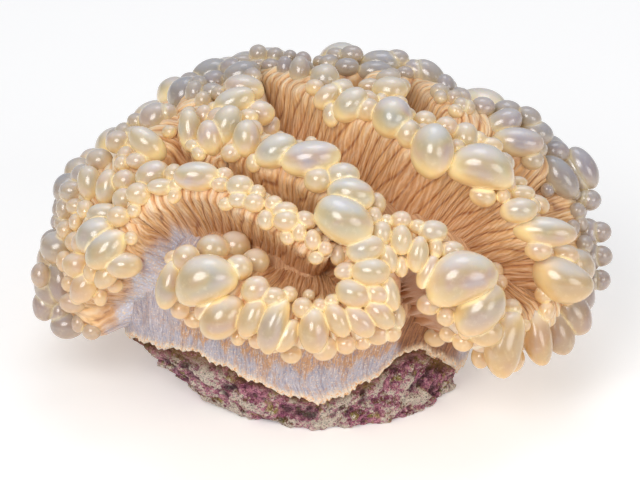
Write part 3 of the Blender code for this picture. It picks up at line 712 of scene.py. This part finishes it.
addFold("right_curl", 0.0030, 0.00, (
    (0.0110, ((562, 268), (566, 302), (542, 328), (504, 338), (474, 312), (454, 280), (430, 250), (400, 240))),
), (
    (457, 279, 35, 24, 20, 0.2), (476, 308, 28, 20, 48), (502, 342, 32, 18, 78, 0.12), (534, 336, 27, 14, 102),
    (554, 328, 26, 16, 115), (569, 310, 26, 17, 125), (559, 279, 30, 20, -25, -0.12), (508, 308, 10, 10),
    (541, 294, 9, 9), (427, 303, 12, 10), (443, 315, 9, 9), (446, 332, 9, 8), (434, 335, 11, 10),
    (482, 330, 16, 14), (562, 255, 13, 10), (399, 240, 14, 10, 90), (399, 221, 10, 9), (415, 227, 8, 7),
    (385, 222, 7, 7), (415, 254, 17, 10, 80), (430, 232, 14, 11), (433, 248, 10, 7, 90), (425, 271, 17, 9, 65),
    (399, 266, 10, 7, 90), (448, 250, 12, 9), (462, 240, 17, 11), (470, 251, 10, 7), (493, 271, 9, 8, 90),
    (497, 282, 8, 8), (460, 340, 10, 9), (478, 355, 11, 9, 90),
))
addFold("crown_fold", 0.0036, 0.10, (
    (0.0080, ((332, 62), (356, 64), (386, 64), (420, 73), (442, 88), (456, 104))),
    (0.0075, ((384, 72), (386, 88), (391, 108))),
), (
    (347, 67, 12, 9), (375, 71, 17, 10), (381, 63, 20, 13), (336, 56, 10, 9), (352, 54, 11, 9),
    (418, 71, 15, 11, -25), (430, 75, 19, 12, -45), (405, 73, 9, 7), (392, 77, 8, 8), (446, 86, 12, 9, -70),
    (397, 58, 12, 9), (453, 99, 8, 8), (460, 107, 8, 8), (389, 92, 17, 13), (388, 80, 12, 9), (370, 88, 12, 8),
))
addFold("right_outer_fold", 0.0034, 0.15, (
    (0.0100, ((470, 112), (502, 122), (526, 142), (556, 162), (574, 188), (588, 218), (592, 250), (590, 286))),
), (
    (516, 143, 25, 14, -3), (502, 124, 19, 13, 25), (506, 112, 14, 11), (482, 108, 12, 10), (466, 109, 8, 8),
    (536, 133, 16, 12, -20), (531, 161, 11, 9), (555, 152, 14, 11), (559, 177, 24, 14, -50),
    (577, 172, 20, 11, -65), (583, 168, 22, 13, -60), (547, 190, 7, 7), (585, 199, 9, 9), (590, 200, 11, 10),
    (577, 211, 8, 8), (588, 233, 14, 12, 90), (600, 232, 11, 10), (572, 228, 8, 7, 90), (590, 257, 14, 11, 90),
    (582, 262, 13, 9, 90), (601, 256, 11, 10), (592, 280, 10, 10), (600, 280, 10, 10), (528, 118, 13, 10, -30),
))
addFold("back_arch", 0.0034, 0.10, (
    (0.0100, ((308, 164), (304, 198), (268, 228), (208, 246), (150, 234), (114, 216), (96, 200))),
), behind=True)
addFold("back_curl", 0.0034, -0.10, (
    (0.0100, ((390, 168), (402, 210), (444, 248), (490, 262), (530, 258), (556, 250), (576, 232))),
), behind=True)
addFold("back_inner_fold", 0.0033, 0.10, (
    (0.0075, ((468, 210), (491, 197), (508, 179), (515, 160), (507, 141))),
), behind=True)
addFold("back_low_fold", 0.0032, 0.10, (
    (0.0105, (
        (390, 228), (368, 262), (330, 290), (274, 314), (224, 322), (182, 310), (146, 294), (110, 300),
        (86, 290),
    )),
), behind=True)
addFold("back_left_fold", 0.0032, 0.00, (
    (0.0105, ((386, 268), (418, 292), (450, 326), (488, 340), (520, 334), (548, 318), (572, 300), (588, 282))),
), behind=True)


def wallRows(halfWidth, crestDegrees, leg):  # (across, rise) from foot to foot
    top = [(halfWidth * math.sin(angle), solidWall["crestRound"] * halfWidth * (math.cos(angle) - 1))
           for angle in map(math.radians, crestDegrees)]
    return [(-across, rise) for across, rise in leg] + top + leg[::-1]


def wallColumns(line, halfWidth, endDegrees):  # place, along, up, share of the width, way out, metres along
    made = []
    count = len(line)
    reach = 3 if count > 60 else 1  # the places on either side that give the direction
    step = (line[1] - line[0]).length
    for i, place in enumerate(line):
        along = (line[min(i + reach, count - 1)] - line[max(i - reach, 0)]).normalized()
        made.append((place, along, domeNormal(place), 1.0, 0.0, i * step))

    def cap(place, along, up, side, start):
        return [
            (place + along * side * halfWidth * math.sin(angle), along, up, math.cos(angle),
             side * math.sin(angle), start + side * halfWidth * angle)
            for angle in map(math.radians, endDegrees)
        ]

    first = cap(*made[0][:3], -1, 0)[::-1]
    return first + made + cap(*made[-1][:3], 1, (count - 1) * step)


def wallField(line, halfWidth, rows, endDegrees, column, row):
    # places of the grid's points, with their way out, metres along, and metres down from the crest
    columns = wallColumns(line, halfWidth, endDegrees)
    place, along, up, width, out, run = (np.array(values)[column] for values in zip(*columns))
    section = np.array(rows)
    lengths = lengthsAlong(section)
    across, rise = section[row, 0], section[row, 1]
    down = lengths[row] - lengths[-1] / 2
    side = np.cross(up, along)
    side /= np.linalg.norm(side, axis=1)[:, None]
    drop = solidWall["crestRound"] * halfWidth * (1 - width)
    points = place + side * (across * width)[:, None] + up * (rise - drop)[:, None]
    flank = smoothStep(0.2, 0.95, np.abs(across) / halfWidth)
    outward = side * (np.sign(across) * width * flank)[:, None] + along * (out * flank)[:, None]
    outward += up * (1 - flank)[:, None]
    return points, outward, run, down


def solidShape(fold):  # the fold's plain wall, as in its solid, to set the bubbles on
    shape = bmesh.new()
    for halfWidth, route in fold["crests"]:
        line = crestLine(route, fold["behind"])
        leg = [(halfWidth + solidWall["flare"], -solidWall["depth"]),
               (halfWidth + solidWall["flare"] / 3, -solidWall["depth"] / 2)]
        rows = wallRows(halfWidth, solidWall["crestDegrees"], leg)
        columns = len(line) - 1 + 2 * len(solidWall["endDegrees"])
        mesh, column, row = gridMesh("solidWall", columns, len(rows) - 1)
        points = wallField(line, halfWidth, rows, solidWall["endDegrees"], column, row)[0]
        mesh.vertices.foreach_set("co", points.astype(np.float32).ravel())
        shape.from_mesh(mesh)
        bpy.data.meshes.remove(mesh)
    return shape


fleshSettings = {
    "step": 0.0006, "endStep": 0.0006, "flare": 0.0080, "legSteps": 22, "crestSteps": 9, "depth": 0.041,
    "relief": 0.0019, "wander": 0.0011, "sway": 0.0012, "sink": 0.0006, "knob": 0.0013, "knobWidth": 0.0026,
    "pitch": 1.32, "buried": 0.0005,
}


def makeFlesh(name, fold, skin, seed):
    s = fleshSettings
    made = []
    for part, (halfWidth, route) in enumerate(fold["crests"]):
        line = crestLine(route, fold["behind"], s["step"])
        ends = max(8, round(halfWidth * math.pi / 2 / s["endStep"]))
        endDegrees = [90 * (k + 1) / ends for k in range(ends)]
        start = solidWall["crestRound"] * halfWidth
        shares = [1 - step / s["legSteps"] for step in range(s["legSteps"])]
        leg = [(halfWidth + s["flare"] * share**2, -start - (s["depth"] - start) * share) for share in shares]
        rows = wallRows(halfWidth, np.linspace(-84, 84, s["crestSteps"]), leg)
        rows.append(rows[0])
        columns = len(line) - 1 + 2 * ends
        mesh, column, row = gridMesh(name + "Part" + str(part), columns, len(rows) - 1)
        points, out, run, down = wallField(line, halfWidth, rows, endDegrees, column, row)
        down[row == len(rows) - 1] = down[row == 0][0]
        away = np.abs(down)
        wander = waves(seed + part, 5, 0.007, 0.022)(run, down * 0.2) * s["wander"]
        sway = waves(seed + part + 50, 4, 0.010, 0.030)(run, down) * s["sway"] * away / 0.02
        phase = math.tau * (run + fold["lean"] * away + wander + sway) / (fold["pitch"] * s["pitch"])
        ridge = (0.5 + 0.5 * np.cos(phase)) ** 0.4
        uneven = 0.8 + 0.35 * waves(seed + part + 90, 4, 0.006, 0.014)(run, down * 0.1)
        shoulder = smoothStep(halfWidth * 0.55, halfWidth * 1.15, away)
        fade = 1 - 0.5 * smoothStep(0.018, 0.036, away)
        knots = 0.3 * waves(seed + part + 70, 5, 0.003, 0.006)(down, run * 3)
        relief = s["relief"] * shoulder * fade * (ridge * uneven * (1 + 0.35 * knots) - 0.45) - s["sink"]
        # pleats end in knobs under the bubbles
        head = np.exp(-(((away - halfWidth * 1.2) / s["knobWidth"]) ** 2))
        relief += s["knob"] * head * (ridge * uneven - 0.35)
        buried = rows[0][1] + s["buried"]
        relief = np.where(np.array(rows)[row, 1] <= buried, 0, relief)
        points += out * relief[:, None]
        fields = {
            "run": np.stack([run + part, down, 0 * run], 1), "groove": ridge * shoulder + 1 - shoulder,
            "deep": np.clip((away - halfWidth * 0.8) / solidWall["depth"], 0, 1),
            # where shade is painted on the flank between the curls
            "brown": paleness(points, 16, 18, paintedShadeFlank),
            "pale": paleness(points) * smoothStep(halfWidth + 0.004, halfWidth + 0.013, away),
        }
        made.append(closeMesh(mesh, points, fields))
    shape = bmesh.new()
    for mesh in made:
        shape.from_mesh(mesh)
        bpy.data.meshes.remove(mesh)
    return showPiece(meshOf(shape, name), skin, "flesh", fold["node"])


# Bubbles

bubbleSettings = {
    "standOut": 0.45, "closeness": 0.85, "crestShare": 0.95, "crestFall": 0.3, "stretch": (1.1, 1.35),
    "solidFillers": ((0.0090, 4), (0.0070, 6)), "fillerShare": 0.95, "seed": 7, "solidLeast": 11,
    "fillers": ((0.0058, 9), (0.0046, 14), (0.0034, 22)), "tucked": ((0.0036, 14), (0.0028, 20)),
    "tuckReach": 1.12, "cover": 0.8, "grown": 1.07, "eye": 0.3, "depthStep": 0.002, "depthTries": 50,
    "lump": 0.035, "lumpTurns": 1.3, "fineFrom": 0.0048, "smallTo": 0.0085, "smallFrom": 0.0035,
    "seamWidth": 0.0008, "seamReach": 1.3, "outerFrom": 0.42, "outerTo": 0.05, "drawnOut": 0.6,
    "drawnLean": 0.7, "clearStart": 1.2, "drawnClear": 0.7,
}


def drawnBubble(row, fold, wall):  # centre, axes, radii, bend, and way out
    s = bubbleSettings
    across, down, halfLong, halfWide = row[:4]
    turn, bend = (row[4:] + (0, 0))[:2]
    behind = fold["behind"]
    right, up, towards = viewAxes(behind)
    sight = onView((across, down), behind)
    angle = math.radians(turn)
    longWay = right * math.cos(angle) + up * math.sin(angle)
    wideWay = up * math.cos(angle) - right * math.sin(angle)
    grown = s["grown"] * drawing["pixel"]
    radii = (halfLong * grown, halfWide * grown, halfWide * grown)
    place = wall.ray_cast(sight + towards * s["eye"], -towards)[0]
    if place is not None:
        centre = place + towards * radii[2] * s["drawnOut"]
    else:
        depths = [s["depthStep"] * i for i in range(-s["depthTries"], s["depthTries"])]
        beside = [wall.find_nearest(sight + towards * depth)[0] for depth in depths]
        nearest = min(beside, key=lambda point: (point - sight).cross(towards).length)
        centre = sight + towards * (nearest - sight).dot(towards)
    axes = Matrix((longWay, wideWay, towards)).transposed()
    return centre, axes, radii, bend, (domeNormal(centre) + towards * s["drawnLean"]).normalized()


def anyWay(up, rng):  # a random direction in the dome's surface
    return Matrix.Rotation(rng.uniform(0, math.tau), 3, up) @ up.orthogonal().normalized()


def looseBubbles(line, halfWidth, sizes, taken, rng):
    s = bubbleSettings
    made = []
    for radius, tries in sizes:
        if radius > halfWidth * s["fillerShare"]:
            continue
        for _ in range(tries * len(line)):
            place = rng.choice(line)
            up = domeNormal(place)
            away = anyWay(up, rng)
            far = rng.uniform(0, halfWidth * s["crestShare"])
            longWay = anyWay(up, rng)
            longRadius = radius * rng.uniform(*s["stretch"])
            centre = place + away * far + up * (radius * s["standOut"] - s["crestFall"] * far**2 / halfWidth)
            if any((centre - other).length < s["closeness"] * (radius + size) for other, size in taken):
                continue
            taken.append((centre, radius))
            axes = Matrix((longWay, up.cross(longWay), up)).transposed()
            made.append((centre, axes, (longRadius, radius, radius), 0.0, up))
    return made


def seamOf(points, bubble, others):  # 1 where a bubble touches its neighbours, where a glow is painted
    s = bubbleSettings
    seam = np.zeros(len(points))
    for centre, axes, radii, _, _ in others:
        if (centre - bubble[0]).length > (max(radii) + max(bubble[2])) * s["seamReach"]:
            continue
        local = (points - np.array(centre)) @ np.array(axes) / np.array(radii)
        gap = (np.linalg.norm(local, axis=1) - 1) * min(radii)
        seam = np.maximum(seam, smoothStep(s["seamWidth"], 0.0, gap))
    return seam


def addBubble(shape, layers, bubble, tone, others):
    s = bubbleSettings
    centre, axes, radii, bend, out = bubble
    mean = (radii[0] + radii[1]) / 2
    made = bmesh.ops.create_icosphere(shape, subdivisions=4 if mean > s["fineFrom"] else 3, radius=1)["verts"]
    small = max(0.0, min(1.0, (s["smallTo"] - mean) / (s["smallTo"] - s["smallFrom"])))
    # how near the bubble lies to the side edges as seen in front, for painted shade
    rim = (centre - dome["centre"]).dot(viewAxes(False)[2]) / dome["axes"].y
    outer = float(smoothStep(s["outerFrom"], s["outerTo"], abs(rim)))
    for vert in made:
        lump = 1 + s["lump"] * noise.noise(vert.co * s["lumpTurns"] + Vector((tone * 40, 0, 0)))
        local = Vector((vert.co.x * radii[0], vert.co.y * radii[1], vert.co.z * radii[2])) * lump
        local.y -= bend * (local.x**2 / radii[0] - radii[0] * 0.4)
        offset = axes @ local
        vert.co = centre + offset
        vert[layers["cap"]] = offset.normalized().dot(out)
        vert[layers["tone"]] = tone
        vert[layers["small"]] = small
        vert[layers["outer"]] = outer
    seam = seamOf(np.array([vert.co for vert in made]), bubble, others)
    for vert, value in zip(made, seam):
        vert[layers["seam"]] = value


def makeBubbles(name, fold, bubbles, skin, seed, everyOne):
    shape = bmesh.new()
    layers = {key: shape.verts.layers.float.new(key) for key in bubbleFields}
    rng = random.Random(seed)
    for bubble in bubbles:
        addBubble(shape, layers, bubble, rng.random(), [other for other in everyOne if other is not bubble])
    for face in shape.faces:
        face.smooth = True
    return showPiece(meshOf(shape, name), skin, "flesh", fold["node"])


def stacked(front, back, size):  # true where one place lies in front of the other, as seen in the drawing
    towards = viewAxes(False)[2]
    along = (front - back).dot(towards)
    return along > 0 and (front - back - towards * along).length < size * bubbleSettings["cover"]


def seenInFront(centre, radius, walls, big):  # shows in the drawing between the bubbles that are drawn
    towards = viewAxes(False)[2]
    start = centre + towards * radius * bubbleSettings["clearStart"]
    if any(wall.ray_cast(start, towards)[0] is not None for wall in walls):
        return False
    return not any(stacked(other, centre, size) for other, size in big)


def tucksIn(centre, radius, others):  # touches a drawn bubble without covering one
    reach = bubbleSettings["tuckReach"]
    if any(stacked(centre, other, size) for other, size in others):
        return False
    return any((centre - other).length < reach * (radius + size) for other, size in others)


flesh = fleshMaterial()
bubbleSkin = bubbleMaterial()
walls = {}
drawn = {}
taken = []
for name, fold in folds.items():
    walls[name] = BVHTree.FromBMesh(solidShape(fold))
    drawn[name] = [drawnBubble(row, fold, walls[name]) for row in fold["bubbles"]]
    large = [row[2] + row[3] >= 2 * bubbleSettings["solidLeast"] for row in fold["bubbles"]]
    taken += [(b[0], (b[2][0] + b[2][1]) / 2) for b, isLarge in zip(drawn[name], large) if isLarge]

rng = random.Random(bubbleSettings["seed"])
fillers = {}
for name, fold in folds.items():
    fillers[name] = []
    for halfWidth, route in fold["crests"]:
        line = crestLine(route, fold["behind"])
        fillers[name] += looseBubbles(line, halfWidth, bubbleSettings["solidFillers"], taken, rng)

allDrawn = [(b[0], (b[2][0] + b[2][1]) / 2) for bubbles in drawn.values() for b in bubbles]
for name, fold in folds.items():  # fillers that would show in front are left out there: it is drawn in full
    kept = []
    for bubble in fillers[name]:
        radius = bubble[2][1]
        reach = bubbleSettings["drawnClear"]
        clear = all((bubble[0] - other).length > reach * (radius + size) for other, size in allDrawn)
        if clear and not seenInFront(bubble[0], radius, walls.values(), allDrawn):
            kept.append(bubble)
    fillers[name] = kept
taken = allDrawn + [(b[0], b[2][1]) for bubbles in fillers.values() for b in bubbles]
print("bubbles laid out:", len(allDrawn), "drawn,", len(taken) - len(allDrawn), "behind")

for name, fold in folds.items():
    for halfWidth, route in fold["crests"]:
        line = crestLine(route, fold["behind"])
        small = looseBubbles(line, halfWidth, bubbleSettings["fillers"], taken, rng)
        fillers[name] += [b for b in small if not seenInFront(b[0], b[2][1], walls.values(), allDrawn)]
        taken = allDrawn + [(b[0], b[2][1]) for bubbles in fillers.values() for b in bubbles]
        tucked = looseBubbles(line, halfWidth, bubbleSettings["tucked"], taken, rng)
        fillers[name] += [b for b in tucked if tucksIn(b[0], b[2][1], allDrawn)]

everyBubble = [bubble for name in folds for bubble in drawn[name] + fillers[name]]
for seed, (name, fold) in enumerate(folds.items()):
    makeFlesh(name + "Flesh", fold, flesh, seed * 7)
    makeBubbles(name + "Bubbles", fold, drawn[name] + fillers[name], bubbleSkin, seed, everyBubble)
print("folds made:", len(folds), "with", len(everyBubble), "bubbles")


# Floor, lights and camera

stageSettings = {
    "floorHalf": 20, "floor": (0.95, 0.95, 0.95, 1), "floorGlow": 0.26,
    "world": (0.96, 0.97, 1.0, 1), "worldStrength": 0.44,
    "distance": 3.0, "frameWidth": 0.256, "lift": 0.004, "sensor": 36, "clipEnd": 100,
    "lights": (
        ("keyLight", (-0.5, -1.32, 1.12), 1.0, 15.0, (1.0, 0.98, 0.95)),
        ("fillLight", (1.0, -1.1, 0.6), 0.9, 6, (1.0, 0.97, 0.93)),
        ("topLight", (0.1, 0.35, 1.5), 0.8, 3, (0.9, 0.94, 1.0)),
    ),
}


def makeStage():
    s = stageSettings
    shape = bmesh.new()
    bmesh.ops.create_grid(shape, x_segments=1, y_segments=1, size=s["floorHalf"])
    mesh = meshOf(shape, "floor")
    paint = Nodes("floorPaint")
    mesh.materials.append(paint.finish(
        Base_Color=s["floor"], Roughness=0.8, Emission_Color=s["floor"], Emission_Strength=s["floorGlow"],
    ))
    floor = newObject("floor", mesh)

    world = bpy.data.worlds.new("studio")
    world.use_nodes = True
    background = world.node_tree.nodes["Background"].inputs
    background["Color"].default_value = s["world"]
    background["Strength"].default_value = s["worldStrength"]
    bpy.context.scene.world = world

    for name, place, size, power, colour in s["lights"]:
        data = bpy.data.lights.new(name, "AREA")
        data.shape = "DISK"
        data.size = size
        data.energy = power
        data.color = colour
        lamp = newObject(name, data)
        lamp.location = place
        lamp.rotation_euler = (dome["centre"] - lamp.location).to_track_quat("-Z", "Y").to_euler()

    _, up, towards = viewAxes(False)
    data = bpy.data.cameras.new("camera")
    data.sensor_width = s["sensor"]
    data.lens = s["sensor"] * s["distance"] / s["frameWidth"]
    data.clip_end = s["clipEnd"]
    camera = newObject("camera", data)
    camera.location = dome["centre"] + up * s["lift"] + towards * s["distance"]
    camera.rotation_euler = (-towards).to_track_quat("-Z", "Y").to_euler()
    bpy.context.scene.camera = camera


makeStage()
bpy.context.scene.view_settings.view_transform = "Standard"
print("stage set")
